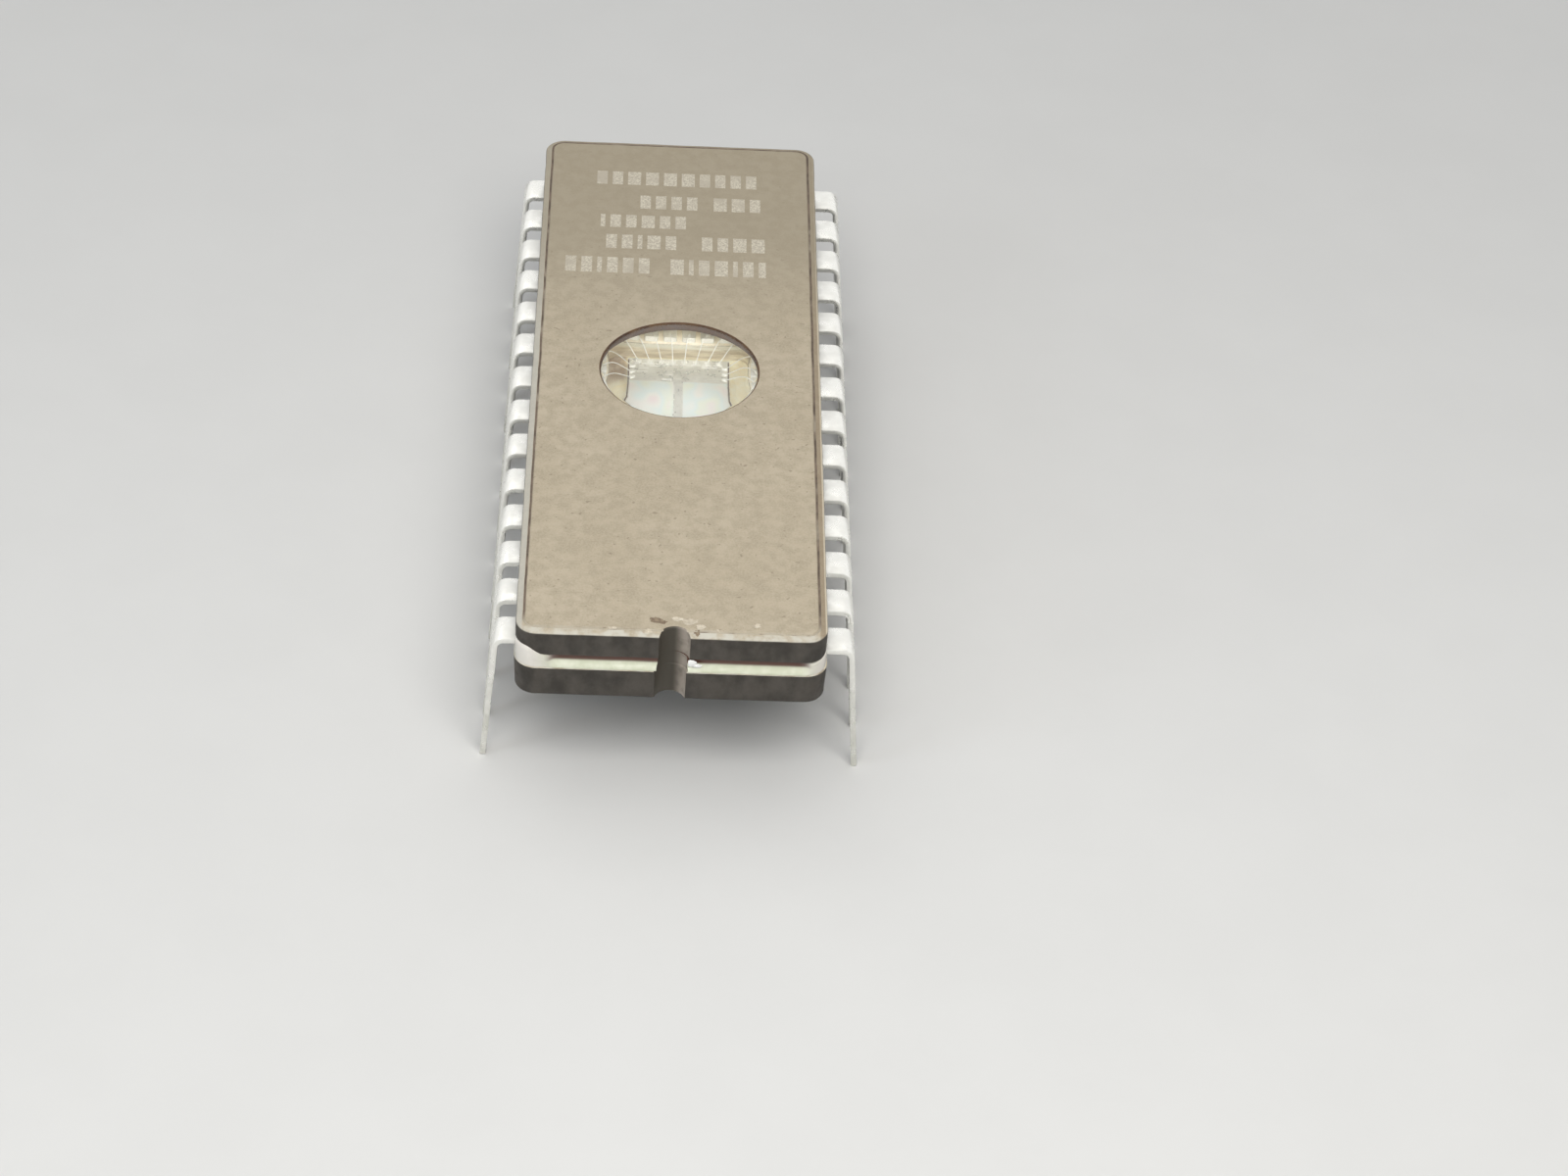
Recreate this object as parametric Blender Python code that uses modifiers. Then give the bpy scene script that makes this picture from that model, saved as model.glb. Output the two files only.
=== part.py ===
"""Windowed ceramic memory chip: a 28-lead dual in-line package with a sealed lead frame.

Metres, +Z up. The origin is on the surface that the lead tips stand on, below the centre of the
package. +Y runs along the length, away from the notched end, and +X runs across the width.
Lead 1 is next to the notch at +X; the numbers run up that row and come back down the other.
"""

import math

import bmesh
import bpy
from mathutils import Vector

MM = 0.001

# Clearance between pieces that are fused or seated on each other
SEAT_GAP = 0.01 * MM

# Lead rows
LEADS_PER_QUADRANT = 7
LEAD_PITCH = 2.54 * MM
LEAD_THICKNESS = 0.25 * MM
SHOULDER_WIDTH = 1.5 * MM
SHOULDER_REACH = 0.56 * MM
BEND_RADIUS = 0.375 * MM
BEND_SEGMENTS = 3
SPLAY = math.radians(4.5)
LEAD_TOP_HEIGHT = 7.03 * MM
SHOULDER_DROP = 2.2 * MM
SHOULDER_TAPER = 0.9 * MM
LEG_WIDTH = 0.48 * MM
LEG_END_WIDTH = 0.32 * MM
LEG_END_LENGTH = 0.45 * MM

# Inner fingers, which fan from the rows to the edge of the cavity
SIDE_TIPS = 3
TIP_PITCH_SIDE = 0.95 * MM
TIP_PITCH_END = 0.85 * MM
TIP_WIDTH = 0.62 * MM
TIP_SETBACK = 0.1 * MM
TIP_BARE_LENGTH = 0.7 * MM
TRACK_FILL = 4 / 7
TRACK_SPREAD = 1.3
GATHER_LENGTH = 1.0 * MM
SHOULDER_DEPTH = 0.65 * MM
FINGER_TAPER = 0.4 * MM

# Ceramic body
BODY_WIDTH = 13.13 * MM
END_MARGIN = 2.12 * MM
CORNER_RADIUS = 0.95 * MM
DRAFT = 0.06 * MM
EDGE_RADIUS = 0.12 * MM
CAP_THICKNESS = 1.3 * MM
CAP_RIM_WIDTH = 0.4 * MM
CAP_RIM_DROP = 0.07 * MM
CAP_RECESS_DEPTH = 0.25 * MM
FLOOR_THICKNESS = 0.62 * MM
CAVITY_DEPTH = 0.92 * MM
CAVITY_RADIUS = 0.5 * MM
BODY_SHIFT = -0.13 * MM
NOTCH_RADIUS = 0.66 * MM
NOTCH_OVERHANG = 0.03 * MM
GLASS_OVER_LEADS = 0.32 * MM
GLASS_UNDER_LEADS = 0.08 * MM

# Window
WINDOW_DIAMETER = 7.11 * MM
WINDOW_SINK = 0.03 * MM
WINDOW_CROWN = 0.02 * MM
WINDOW_EDGE = 0.04 * MM
ROUND_STEPS = 48

# Die and its bonding
DIE_WIDTH = 4.6 * MM
DIE_LENGTH = 6.6 * MM
DIE_THICKNESS = 0.38 * MM
DIE_SIDE_ROOM = 0.8 * MM
DIE_END_ROOM = 0.45 * MM
ATTACH_MARGIN = 0.3 * MM
ATTACH_THICKNESS = 0.03 * MM
PAD_INSET = 0.2 * MM
PAD_PITCH_END = 0.52 * MM
PAD_PITCH_SIDE = 0.4 * MM
WIRE_DIAMETER = 0.038 * MM
WIRE_FOOT = 0.25 * MM
WIRE_LOOP = 0.3 * MM
WIRE_POINTS = 8

CUT_MARGIN = 1.0 * MM

# Heights that follow from the sizes above
LEAD_MID_HEIGHT = LEAD_TOP_HEIGHT - LEAD_THICKNESS / 2
CAP_BOTTOM = LEAD_TOP_HEIGHT + GLASS_OVER_LEADS
CAP_TOP = CAP_BOTTOM + CAP_THICKNESS
CAP_CEILING = CAP_BOTTOM + CAP_RECESS_DEPTH
BASE_TOP = LEAD_TOP_HEIGHT - LEAD_THICKNESS - GLASS_UNDER_LEADS
CAVITY_FLOOR = BASE_TOP - CAVITY_DEPTH
BASE_BOTTOM = CAVITY_FLOOR - FLOOR_THICKNESS
ATTACH_BOTTOM = CAVITY_FLOOR + SEAT_GAP
DIE_BOTTOM = ATTACH_BOTTOM + ATTACH_THICKNESS + SEAT_GAP
DIE_TOP = DIE_BOTTOM + DIE_THICKNESS

# Half sizes in plan that follow from the sizes above
ROW_LENGTH = (2 * LEADS_PER_QUADRANT - 1) * LEAD_PITCH
BODY_HALF_X = BODY_WIDTH / 2
BODY_HALF_Y = ROW_LENGTH / 2 + END_MARGIN
CAVITY_HALF_X = DIE_WIDTH / 2 + DIE_SIDE_ROOM
CAVITY_HALF_Y = DIE_LENGTH / 2 + DIE_END_ROOM
TIP_END_X = CAVITY_HALF_X + TIP_SETBACK
TIP_END_Y = CAVITY_HALF_Y + TIP_SETBACK
OPENING_HALF_X = TIP_END_X + TIP_BARE_LENGTH
OPENING_HALF_Y = TIP_END_Y + TIP_BARE_LENGTH
SHOULDER_INNER_X = BODY_HALF_X - SHOULDER_DEPTH
FINGER_OUTER_X = SHOULDER_INNER_X - FINGER_TAPER
LANE_PITCH = (FINGER_OUTER_X - OPENING_HALF_X) / (SIDE_TIPS - 1)
TRACK_WIDTH = LANE_PITCH * TRACK_FILL
TRACK_CORNER = LANE_PITCH / 2
BEND_START_X = BODY_HALF_X + SHOULDER_REACH


def clear_scene():
    for old in list(bpy.context.scene.objects):
        bpy.data.objects.remove(old, do_unlink=True)


def new_collection(name):
    group = bpy.data.collections.new(name)
    bpy.context.scene.collection.children.link(group)
    return group


def new_material(name, colour, roughness, metallic=0.0, transmission=0.0):
    material = bpy.data.materials.new(name)
    material.use_nodes = True
    shader = material.node_tree.nodes["Principled BSDF"]
    shader.inputs["Base Color"].default_value = (*colour, 1.0)
    shader.inputs["Roughness"].default_value = roughness
    shader.inputs["Metallic"].default_value = metallic
    shader.inputs["Transmission Weight"].default_value = transmission
    return material


def object_from_bmesh(name, bm, group, material=None, parent=None):
    mesh = bpy.data.meshes.new(name)
    bm.to_mesh(mesh)
    bm.free()
    obj = bpy.data.objects.new(name, mesh)
    group.objects.link(obj)
    obj.parent = parent
    if material:
        mesh.materials.append(material)
    return obj


def hide_cutter(obj):
    obj.hide_render = True
    obj.display_type = "WIRE"
    return obj


def add_boolean(obj, operand, operation="DIFFERENCE"):
    cut = obj.modifiers.new(operand.name, "BOOLEAN")
    cut.operation = operation
    cut.solver = "EXACT"
    cut.object = operand


def rounded_block(low, high, z_low, z_high, corner, rounded_z=None):
    """Block with upright rounded corners between two plans, each (half x, half y, centre x).

    The rim at the height rounded_z, if there is one, gets EDGE_RADIUS.
    """
    bm = bmesh.new()
    bmesh.ops.create_cube(bm, size=2.0)
    upright = [edge for edge in bm.edges if edge.verts[0].co.z * edge.verts[1].co.z < 0]
    for vert in bm.verts:
        upper = vert.co.z > 0
        half_x, half_y, centre_x = high if upper else low
        vert.co = (centre_x + vert.co.x * half_x, vert.co.y * half_y, z_high if upper else z_low)
    bmesh.ops.bevel(bm, geom=upright, offset=corner, segments=4, profile=0.5, affect="EDGES")
    if rounded_z is not None:
        level = SEAT_GAP / 10
        rim = [e for e in bm.edges if all(abs(v.co.z - rounded_z) < level for v in e.verts)]
        bmesh.ops.bevel(bm, geom=rim, offset=EDGE_RADIUS, segments=2, profile=0.5, affect="EDGES")
    return bm


def upright_cylinder(radius, centre, z_low, z_high, steps):
    bm = bmesh.new()
    bmesh.ops.create_cone(bm, cap_ends=True, segments=steps, radius1=radius, radius2=radius,
                          depth=z_high - z_low)
    bmesh.ops.translate(bm, vec=(centre[0], centre[1], (z_low + z_high) / 2), verts=bm.verts)
    return bm


def notch_cutter(name, centre_x, z_low, z_high, group):
    centre = (centre_x, -(BODY_HALF_Y + NOTCH_OVERHANG))
    bm = upright_cylinder(NOTCH_RADIUS, centre, z_low - CUT_MARGIN, z_high + CUT_MARGIN,
                          ROUND_STEPS // 2)
    return hide_cutter(object_from_bmesh(name, bm, group))


def block_cutter(name, half_x, half_y, centre_x, z_low, z_high, group):
    plan = (half_x, half_y, centre_x)
    bm = rounded_block(plan, plan, z_low, z_high, CAVITY_RADIUS)
    return hide_cutter(object_from_bmesh(name, bm, group))


def lead_y(rank):
    """Distance of a lead from the middle of its row, by its rank from the middle."""
    return (rank + 0.5) * LEAD_PITCH


def finger_path(rank):
    """Plan points of one inner finger, from the shoulder to the tip, in the +X +Y quarter."""
    row_y = lead_y(rank)
    start = (FINGER_OUTER_X, row_y)
    if rank >= SIDE_TIPS:
        tip_x = (LEADS_PER_QUADRANT - rank - 0.5) * TIP_PITCH_END
        track_x = tip_x * TRACK_SPREAD
        corner = [(track_x + TRACK_CORNER, row_y), (track_x, row_y - TRACK_CORNER)]
        return [start, *corner, (tip_x, OPENING_HALF_Y + GATHER_LENGTH), (tip_x, TIP_END_Y)]
    tip_y = (rank + 0.5) * TIP_PITCH_SIDE
    if rank == 0:
        return [start, (FINGER_OUTER_X - row_y + tip_y, tip_y), (TIP_END_X, tip_y)]
    lane_x = OPENING_HALF_X + (SIDE_TIPS - rank - 0.5) * LANE_PITCH
    turn_in = [(lane_x + TRACK_CORNER, row_y)] if rank > 1 else []
    return [start, *turn_in, (lane_x, row_y - TRACK_CORNER), (lane_x, tip_y + TRACK_CORNER),
            (lane_x - TRACK_CORNER, tip_y), (TIP_END_X, tip_y)]


def plan_stations(points, widths, height):
    """Left and right rim points of a flat strip that follows a path in plan, mitred at each turn."""
    points = [Vector(point) for point in points]
    heads = [(b - a).normalized() for a, b in zip(points, points[1:])]
    stations = []
    for i, (point, width) in enumerate(zip(points, widths)):
        before, after = heads[max(i - 1, 0)], heads[min(i, len(heads) - 1)]
        along = (before + after).normalized()
        across = Vector((-along.y, along.x)) * width / 2 / along.dot(before)
        stations.append([(*(point + side * across), height) for side in (1, -1)])
    return stations


def finger_stations(rank, outer_x, grow=0.0):
    """Rim points of the flat part of a lead, from the tip inside to the plan distance outer_x."""
    row_y = lead_y(rank)
    path = finger_path(rank)
    points = [(outer_x, row_y), (SHOULDER_INNER_X, row_y), *path]
    widths = [SHOULDER_WIDTH] * 2 + [TRACK_WIDTH] * (len(path) - 1) + [TIP_WIDTH]
    return plan_stations(points, [width + 2 * grow for width in widths], LEAD_MID_HEIGHT)[::-1]


def leg_profile():
    """Distance from the middle, height and width along a lead, from its bend to its end."""
    turn = math.pi / 2 - SPLAY
    profile = []
    for step in range(BEND_SEGMENTS + 1):
        angle = turn * step / BEND_SEGMENTS
        profile.append((BEND_START_X + BEND_RADIUS * math.sin(angle),
                        LEAD_MID_HEIGHT - BEND_RADIUS * (1 - math.cos(angle)), SHOULDER_WIDTH))
    bend_x, bend_z, _ = profile[-1]
    end_z = LEAD_THICKNESS / 2 * math.sin(SPLAY)
    lower = [(LEAD_TOP_HEIGHT - SHOULDER_DROP, SHOULDER_WIDTH),
             (LEAD_TOP_HEIGHT - SHOULDER_DROP - SHOULDER_TAPER, LEG_WIDTH),
             (end_z + LEG_END_LENGTH, LEG_WIDTH), (end_z, LEG_END_WIDTH)]
    for height, width in lower:
        profile.append((bend_x + (bend_z - height) * math.tan(SPLAY), height, width))
    return profile


def leg_stations(rank):
    row_y = lead_y(rank)
    return [[(x, row_y + side * width / 2, z) for side in (-1, 1)] for x, z, width in leg_profile()]


def add_strip(bm, stations, side_x, side_y):
    """Row of faces between rim points given in the +X +Y quarter, mirrored to another quarter."""
    rims = [[bm.verts.new((side_x * x, side_y * y, z)) for x, y, z in pair] for pair in stations]
    for (left, right), (next_left, next_right) in zip(rims, rims[1:]):
        bm.faces.new((left, right, next_right, next_left))


def add_solidify(obj, thickness):
    wall = obj.modifiers.new("Thickness", "SOLIDIFY")
    wall.thickness = thickness
    wall.offset = 0.0
    wall.use_even_offset = True


def lead_places():
    """Side of the package, half of the row and rank of each lead, in the order of its number."""
    up_the_row = [(-1, rank) for rank in reversed(range(LEADS_PER_QUADRANT))]
    up_the_row += [(1, rank) for rank in range(LEADS_PER_QUADRANT)]
    places = [(1, side_y, rank) for side_y, rank in up_the_row]
    return places + [(-1, side_y, rank) for side_y, rank in reversed(up_the_row)]


def make_leads(group, material, root):
    for number, (side_x, side_y, rank) in enumerate(lead_places(), start=1):
        bm = bmesh.new()
        stations = finger_stations(rank, BODY_HALF_X) + leg_stations(rank)
        add_strip(bm, stations, side_x, side_y)
        lead = object_from_bmesh(f"lead_{number:02d}", bm, group, material, root)
        add_solidify(lead, LEAD_THICKNESS)


def finger_tunnels(group):
    """One cutter with the room that every sealed finger takes in the glass."""
    bm = bmesh.new()
    for side_x, side_y, rank in lead_places():
        add_strip(bm, finger_stations(rank, BEND_START_X, SEAT_GAP), side_x, side_y)
    tunnels = hide_cutter(object_from_bmesh("finger_tunnels", bm, group))
    add_solidify(tunnels, LEAD_THICKNESS + 2 * SEAT_GAP)
    return tunnels


def make_base(group, cutters, material, root):
    low = (BODY_HALF_X - DRAFT, BODY_HALF_Y - DRAFT, BODY_SHIFT)
    high = (BODY_HALF_X, BODY_HALF_Y, BODY_SHIFT)
    bm = rounded_block(low, high, BASE_BOTTOM, BASE_TOP, CORNER_RADIUS, rounded_z=BASE_BOTTOM)
    base = object_from_bmesh("ceramic_base", bm, group, material, root)
    add_boolean(base, block_cutter("die_cavity", CAVITY_HALF_X, CAVITY_HALF_Y, 0.0, CAVITY_FLOOR,
                                   BASE_TOP + CUT_MARGIN, cutters))
    add_boolean(base, notch_cutter("base_notch", BODY_SHIFT, BASE_BOTTOM, BASE_TOP, cutters))


def make_cap(group, cutters, material, root):
    """Cap whose flat top stands a little proud of a border that runs all round it."""
    low = (BODY_HALF_X, BODY_HALF_Y, BODY_SHIFT)
    high = (BODY_HALF_X - DRAFT, BODY_HALF_Y - DRAFT, BODY_SHIFT)
    border = CAP_TOP - CAP_RIM_DROP
    bm = rounded_block(low, high, CAP_BOTTOM, border, CORNER_RADIUS, rounded_z=border)
    top = max(bm.faces, key=lambda face: face.calc_center_median().z)
    bmesh.ops.inset_region(bm, faces=[top], thickness=CAP_RIM_WIDTH - EDGE_RADIUS,
                           depth=CAP_RIM_DROP, use_even_offset=True)
    cap = object_from_bmesh("ceramic_cap", bm, group, material, root)
    hole = upright_cylinder(WINDOW_DIAMETER / 2, (0.0, 0.0), CAP_BOTTOM - CUT_MARGIN,
                            CAP_TOP + CUT_MARGIN, ROUND_STEPS)
    add_boolean(cap, block_cutter("cap_recess", OPENING_HALF_X, OPENING_HALF_Y, 0.0,
                                  CAP_BOTTOM - CUT_MARGIN, CAP_CEILING, cutters))
    add_boolean(cap, hide_cutter(object_from_bmesh("window_hole", hole, cutters)))
    add_boolean(cap, notch_cutter("cap_notch", 0.0, CAP_BOTTOM, CAP_TOP, cutters))


def make_seal_glass(group, cutters, material, root):
    plan = (BODY_HALF_X, BODY_HALF_Y, BODY_SHIFT)
    bottom, top = BASE_TOP + SEAT_GAP, CAP_BOTTOM - SEAT_GAP
    bm = rounded_block(plan, plan, bottom, top, CORNER_RADIUS)
    glass = object_from_bmesh("seal_glass", bm, group, material, root)
    add_boolean(glass, block_cutter("glass_opening", OPENING_HALF_X, OPENING_HALF_Y, 0.0,
                                    bottom - CUT_MARGIN, top + CUT_MARGIN, cutters))
    add_boolean(glass, finger_tunnels(cutters))
    add_boolean(glass, notch_cutter("glass_notch", BODY_SHIFT / 2, bottom, top, cutters))


def make_window(group, material, root):
    radius = WINDOW_DIAMETER / 2 - SEAT_GAP
    bottom = CAP_CEILING
    rim = CAP_TOP - WINDOW_SINK
    profile = [(0.0, rim + WINDOW_CROWN), (radius / 2, rim + WINDOW_CROWN * 3 / 4),
               (radius - WINDOW_EDGE, rim), (radius, rim - WINDOW_EDGE), (radius, bottom),
               (0.0, bottom)]
    bm = bmesh.new()
    verts = [bm.verts.new((x, 0.0, z)) for x, z in profile]
    for a, b in zip(verts, verts[1:]):
        bm.edges.new((a, b))
    window = object_from_bmesh("window_glass", bm, group, material, root)
    turn = window.modifiers.new("Turn", "SCREW")
    turn.steps = turn.render_steps = ROUND_STEPS
    turn.use_merge_vertices = True
    turn.merge_threshold = SEAT_GAP / 10


def make_die_attach(group, material, root):
    half_x = DIE_WIDTH / 2 + ATTACH_MARGIN
    half_y = DIE_LENGTH / 2 + ATTACH_MARGIN
    plan = (half_x, half_y, 0.0)
    bm = rounded_block(plan, plan, ATTACH_BOTTOM, ATTACH_BOTTOM + ATTACH_THICKNESS, ATTACH_MARGIN)
    object_from_bmesh("die_attach", bm, group, material, root)


def wire_points(rank):
    """Points of one bond wire, from its finger down to the die, in the +X +Y quarter."""
    end_y = DIE_LENGTH / 2 - PAD_INSET
    tip_x, tip_y = finger_path(rank)[-1]
    if rank >= SIDE_TIPS:
        start = Vector((tip_x, tip_y + WIRE_FOOT))
        pad = Vector(((LEADS_PER_QUADRANT - rank - 0.5) * PAD_PITCH_END, end_y))
    else:
        start = Vector((tip_x + WIRE_FOOT, tip_y))
        pad = Vector((DIE_WIDTH / 2 - PAD_INSET, end_y - (SIDE_TIPS - rank) * PAD_PITCH_SIDE))
    high = LEAD_TOP_HEIGHT + SEAT_GAP + WIRE_DIAMETER / 2
    low = DIE_TOP + WIRE_DIAMETER / 8
    points = []
    for i in range(WIRE_POINTS):
        t = i / (WIRE_POINTS - 1)
        drop = t * t * (3 - 2 * t)
        height = high + (low - high) * drop + WIRE_LOOP * math.sin(math.pi * t)
        points.append((*start.lerp(pad, t), height))
    return points


def bond_wires(group):
    """All bond wires as one mesh, ready to be joined to the die."""
    curve = bpy.data.curves.new("bond_wires", "CURVE")
    curve.dimensions = "3D"
    curve.bevel_depth = WIRE_DIAMETER / 2
    curve.bevel_resolution = 1
    curve.use_fill_caps = True
    for side_x, side_y, rank in lead_places():
        spline = curve.splines.new("POLY")
        spline.points.add(WIRE_POINTS - 1)
        for point, (x, y, z) in zip(spline.points, wire_points(rank)):
            point.co = (side_x * x, side_y * y, z, 1.0)
    tubes = bpy.data.objects.new("wire_curves", curve)
    group.objects.link(tubes)
    evaluated = tubes.evaluated_get(bpy.context.evaluated_depsgraph_get())
    bm = bmesh.new()
    bm.from_mesh(bpy.data.meshes.new_from_object(evaluated))
    bmesh.ops.remove_doubles(bm, verts=bm.verts, dist=SEAT_GAP / 100)
    wires = object_from_bmesh("bond_wires", bm, group)
    wires.matrix_world = tubes.matrix_world
    bpy.data.objects.remove(tubes, do_unlink=True)
    return hide_cutter(wires)


def make_die(group, cutters, material, root):
    bm = bmesh.new()
    bmesh.ops.create_cube(bm, size=1.0)
    bmesh.ops.scale(bm, vec=(DIE_WIDTH, DIE_LENGTH, DIE_THICKNESS), verts=bm.verts)
    bmesh.ops.translate(bm, vec=(0.0, 0.0, DIE_BOTTOM + DIE_THICKNESS / 2), verts=bm.verts)
    die = object_from_bmesh("die_and_bond_wires", bm, group, material, root)
    add_boolean(die, bond_wires(cutters), operation="UNION")


def main():
    clear_scene()
    chip = new_collection("eprom_chip")
    cutters = new_collection("cutters")
    root = bpy.data.objects.new("eprom_chip_root", None)
    chip.objects.link(root)

    ceramic = new_material("pressed_ceramic", (0.17, 0.15, 0.13), 0.75)
    solder_glass = new_material("seal_glass", (0.12, 0.10, 0.09), 0.2)
    tinned = new_material("tinned_alloy", (0.83, 0.83, 0.80), 0.35, metallic=1.0)
    clear_glass = new_material("window_glass", (0.95, 0.96, 0.94), 0.03, transmission=1.0)
    gold = new_material("die_attach_gold", (0.80, 0.62, 0.30), 0.35, metallic=1.0)
    silicon = new_material("silicon", (0.60, 0.60, 0.62), 0.15, metallic=0.6)

    make_base(chip, cutters, ceramic, root)
    make_seal_glass(chip, cutters, solder_glass, root)
    make_leads(chip, tinned, root)
    make_cap(chip, cutters, ceramic, root)
    make_window(chip, clear_glass, root)
    make_die_attach(chip, gold, root)
    make_die(chip, cutters, silicon, root)


main()
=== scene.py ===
import math
import random

import bmesh
import bpy
from mathutils import Matrix, Vector, noise


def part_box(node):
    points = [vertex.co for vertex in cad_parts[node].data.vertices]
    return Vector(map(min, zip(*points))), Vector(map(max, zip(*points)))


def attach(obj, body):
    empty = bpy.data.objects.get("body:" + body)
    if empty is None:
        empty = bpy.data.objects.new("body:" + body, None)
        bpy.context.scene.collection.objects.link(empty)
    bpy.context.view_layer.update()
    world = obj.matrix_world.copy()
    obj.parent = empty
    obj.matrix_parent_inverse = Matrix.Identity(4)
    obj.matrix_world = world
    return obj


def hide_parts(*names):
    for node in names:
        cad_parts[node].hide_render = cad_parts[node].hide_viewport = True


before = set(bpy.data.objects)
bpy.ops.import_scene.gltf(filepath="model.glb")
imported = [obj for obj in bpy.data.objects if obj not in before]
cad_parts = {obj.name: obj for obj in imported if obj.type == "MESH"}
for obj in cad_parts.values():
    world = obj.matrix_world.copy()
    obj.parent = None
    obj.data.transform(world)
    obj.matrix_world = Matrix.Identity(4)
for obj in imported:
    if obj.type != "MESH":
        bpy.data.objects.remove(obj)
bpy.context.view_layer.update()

# All sizes below are millimetres; pieces are scaled to metres when they are made
MM = 0.001
rng = random.Random(28)


def box_mm(node):
    low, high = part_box(node)
    return Vector(low) / MM, Vector(high) / MM


CAP_LOW, CAP_HIGH = box_mm("ceramic_cap")
BASE_LOW, BASE_HIGH = box_mm("ceramic_base")
GLASS_LOW, GLASS_HIGH = box_mm("seal_glass")
WINDOW_LOW = box_mm("window_glass")[0]
ATTACH_LOW, ATTACH_HIGH = box_mm("die_attach")

BODY_SHIFT = (CAP_LOW.x + CAP_HIGH.x) / 2
BODY_HALF_X = (CAP_HIGH.x - CAP_LOW.x) / 2
BODY_HALF_Y = CAP_HIGH.y
CORNER_RADIUS = 0.95
DRAFT = 0.06
EDGE_RADIUS = 0.12
BORDER_WIDTH = 0.4
CAP_TOP = CAP_HIGH.z - 0.008
CAP_CEILING = 7.6
NOTCH_RADIUS = 0.66
NOTCH_Y = -BODY_HALF_Y - 0.03
WINDOW_RADIUS = 3.555
BORE_FLARE, FLARE_TOP = 0.12, 8.3
WINDOW_OVERLAP = 0.015
CAVITY_HALF = (3.1, 3.75)
OPENING_HALF = (3.9, 4.55)
CAVITY_FLOOR = ATTACH_LOW.z - 0.01
CAVITY_RADIUS = 0.5

# Rough pits at the edge of the cap, each given by its centre and its half sizes
PALE_PITS = [((0.62, -17.62, CAP_TOP), (0.34, 0.20, 0.045)),
             ((1.08, -17.95, CAP_TOP), (0.20, 0.17, 0.05)),
             ((0.1, -17.48, CAP_TOP), (0.22, 0.13, 0.03)),
             ((3.4, -17.75, CAP_TOP), (0.16, 0.13, 0.05)),
             ((1.9, -18.15, CAP_TOP), (0.15, 0.1, 0.06)),
             ((-2.6, -18.2, CAP_TOP), (0.22, 0.09, 0.05)),
             ((-1.15, -18.3, CAP_TOP - 0.03), (0.2, 0.14, 0.08)),
             ((4.6, -18.28, CAP_TOP), (0.3, 0.09, 0.06)),
             ((BODY_HALF_X + BODY_SHIFT - 0.25, -9.0, CAP_TOP), (0.06, 0.24, 0.04)),
             ((BODY_SHIFT - BODY_HALF_X + 0.2, 6.1, CAP_TOP - 0.03), (0.05, 0.2, 0.04))]
BROWN_PITS = [((-0.82, -17.6, CAP_TOP), (0.26, 0.17, 0.06)),
              ((-0.52, -17.72, CAP_TOP), (0.16, 0.12, 0.05)),
              ((0.92, -18.32, CAP_TOP), (0.14, 0.16, 0.1)),
              ((-4.9, BODY_HALF_Y - 0.3, CAP_TOP), (0.3, 0.1, 0.06)),
              ((4.2, BODY_HALF_Y - 0.25, CAP_TOP), (0.2, 0.12, 0.05))]

# Seal glass: where it starts to come forward on the left and right and how far it climbs there
LEFT_CLIMB, RIGHT_CLIMB = (4.95, 0.48), (5.5, 0.28)
CLIMB_DEPTH = 2.0
# Drops of glass on the front, each given by its centre and its half sizes in x and z; their
# near-white colour is a painted glint
DROPS = [((-5.62, 7.44), (0.2, 0.17)), ((-5.42, 7.3), (0.26, 0.13)), ((0.72, 7.16), (0.26, 0.2)),
         ((0.98, 7.04), (0.24, 0.1))]
DROP_DEPTH = 0.06

LEADS_PER_QUADRANT = 7
LEAD_PITCH = 2.54
LEAD_TOP = 7.03
LEAD_THICKNESS = 0.25
LEAD_MID = LEAD_TOP - LEAD_THICKNESS / 2
SHOULDER_WIDTH = 1.5
SHOULDER_INNER_X = 5.915
FINGER_OUTER_X = 5.515
BEND_START_X = 7.125
BEND_RADIUS = 0.375
BEND_STEPS = 10
SPLAY = 4.5
TAPER_TOP, TAPER_BOTTOM = 4.83, 3.93
LEG_WIDTH, LEG_END_WIDTH, LEG_END_LENGTH = 0.48, 0.32, 0.45
STRIP_EDGE = 0.045
SIDE_TIPS = 3
TIP_PITCH_SIDE, TIP_PITCH_END = 0.95, 0.85
TIP_WIDTH = 0.62
TIP_END = (3.2, 3.85)
LANE_PITCH = (FINGER_OUTER_X - OPENING_HALF[0]) / (SIDE_TIPS - 1)
TRACK_WIDTH = LANE_PITCH * 4 / 7
TRACK_CORNER = LANE_PITCH / 2

DIE_HALF = (2.3, 3.3)
DIE_BOTTOM, DIE_TOP = ATTACH_HIGH.z + 0.01, ATTACH_HIGH.z + 0.39
DIE_SKIN, DIE_FILM = DIE_TOP - 0.006, 0.002
ARRAY_X, ARRAY_HALF_Y = (0.21, 2.2), 1.62
STRIPE_HALF_X = 0.16
EDGE_X, EDGE_HALF_Y = (2.235, 2.29), 3.2
CIRCUIT_ROWS = (1.68, 1.86, 2.08, 2.3, 2.5, 2.7)
BUS_ROW = 2.86
PAD_PITCH_END, PAD_PITCH_SIDE, PAD_INSET = 0.52, 0.4, 0.2
PAD_HALF = (0.13, 0.1)
WIRE_RADIUS, WIRE_LOOP = 0.022, 0.3
WIRE_POINTS = 20
FOOT_SIZE = (0.15, 0.085, 0.045)

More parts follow.
